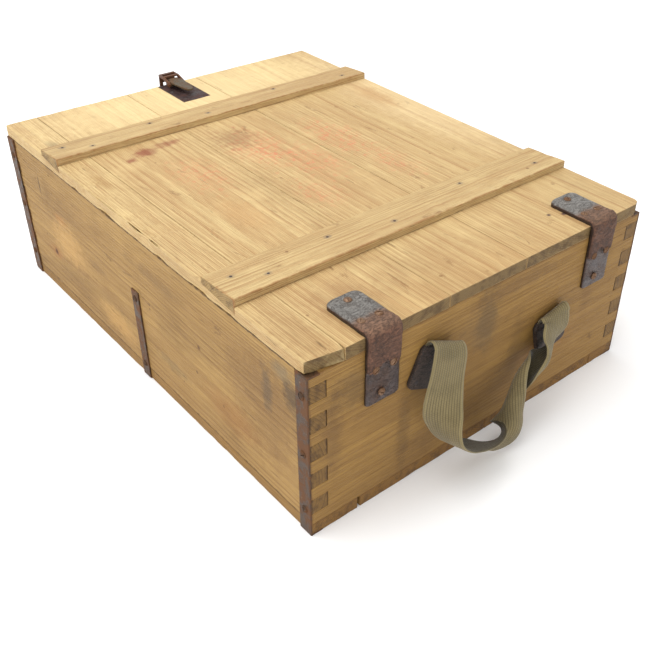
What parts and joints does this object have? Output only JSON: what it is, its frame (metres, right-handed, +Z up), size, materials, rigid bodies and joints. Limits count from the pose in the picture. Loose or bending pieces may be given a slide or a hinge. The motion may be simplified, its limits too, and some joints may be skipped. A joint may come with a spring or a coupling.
{
  "type": "footlocker",
  "caption": "Low wooden chest with a battened plank lid on leather hinges, a lever latch at one end, steel corner straps and hanging webbing handles.",
  "frame": {"origin": "under the middle of the box, on the surface it stands on", "axes": "+Z up, +Y along the length towards the latch end, the leather hinges at the -Y end, X across"},
  "size_m": [0.4476, 0.6872, 0.2094],
  "materials": {
    "wood_lid": "aged honey pine, bare, strong straight grain",
    "wood_batten": "aged pine, bare, grey nail stains",
    "wood_side": "darker orange-brown aged pine",
    "wood_end": "dark brown aged pine, smudged end grain",
    "wood_bottom": "dark worn pine",
    "rusty_strap": "rust-brown steel strip with worn chips",
    "screw_steel": "dull slotted screw heads",
    "nail_iron": "dark flat nail heads",
    "hinge_leather": "cracked red-brown leather with blue-grey patina",
    "patch_leather": "dark worn leather",
    "webbing": "olive cotton webbing",
    "latch_plate_metal": "dark plum-brown oxidised sheet",
    "latch_metal": "olive-brown and rust-brown oxidised sheet",
    "latch_pin_metal": "dull pins"
  },
  "bodies": {
    "box": {"side_board_left": "wood_side", "side_board_right": "wood_side", "end_board_hinge": "wood_end", "end_board_latch": "wood_end", "bottom_board_1": "wood_bottom", "bottom_board_2": "wood_bottom", "bottom_board_3": "wood_bottom", "bottom_board_4": "wood_bottom", "corner_strap_hinge_left": "rusty_strap", "corner_strap_hinge_right": "rusty_strap", "corner_strap_latch_left": "rusty_strap", "corner_strap_latch_right": "rusty_strap", "mid_strap_left": "rusty_strap", "mid_strap_right": "rusty_strap", "handle_patch_hinge_left": "patch_leather", "handle_patch_hinge_right": "patch_leather", "handle_patch_latch_left": "patch_leather", "handle_patch_latch_right": "patch_leather", "corner_strap_screws": "screw_steel", "mid_strap_screws": "screw_steel", "hinge_screws_box": "screw_steel", "latch_catch_screws": "screw_steel", "bottom_nails": "nail_iron", "handle_patch_nails": "nail_iron", "latch_catch_plate": "latch_plate_metal"},
    "lid": {"lid_board_1": "wood_lid", "lid_board_2": "wood_lid", "lid_board_3": "wood_lid", "lid_board_4": "wood_lid", "lid_batten_hinge": "wood_batten", "lid_batten_latch": "wood_batten", "lid_batten_nails": "nail_iron", "hinge_strap_left": "hinge_leather", "hinge_strap_right": "hinge_leather", "hinge_screws_lid": "screw_steel", "latch_base_plate": "latch_plate_metal", "latch_base_nails": "nail_iron", "latch_pivot_pin": "latch_pin_metal"},
    "latch_lever": {"latch_lever": "latch_metal", "latch_link_pin": "latch_pin_metal"},
    "latch_link": {"latch_link": "latch_metal"},
    "handle_hinge": {"handle_webbing_hinge": "webbing"},
    "handle_latch": {"handle_webbing_latch": "webbing"}
  },
  "joints": [
    {"name": "lid_hinge", "type": "hinge", "parent": "box", "child": "lid", "pos_m": [0, -0.296, 0.185], "axis": [1, 0, 0], "range_deg": [0, 100], "deforming": ["hinge_strap_left", "hinge_strap_right"]},
    {"name": "lever_pivot", "type": "hinge", "parent": "lid", "child": "latch_lever", "pos_m": [0.0025, 0.29, 0.2034], "axis": [-1, 0, 0], "range_deg": [0, 120]},
    {"name": "link_pivot", "type": "hinge", "parent": "latch_lever", "child": "latch_link", "pos_m": [0.0025, 0.281, 0.2026], "axis": [-1, 0, 0], "range_deg": [-120, 0]},
    {"name": "handle_swing_hinge", "type": "hinge", "parent": "box", "child": "handle_hinge", "pos_m": [0.005, -0.3, 0.133], "axis": [-0.972, 0, 0.235], "range_deg": [0, 120]},
    {"name": "handle_swing_latch", "type": "hinge", "parent": "box", "child": "handle_latch", "pos_m": [-0.005, 0.3, 0.133], "axis": [0.972, 0, 0.235], "range_deg": [0, 120]}
  ],
  "couplings": [
    {"joint": "link_pivot", "follows": "lever_pivot", "ratio": -1}
  ]
}
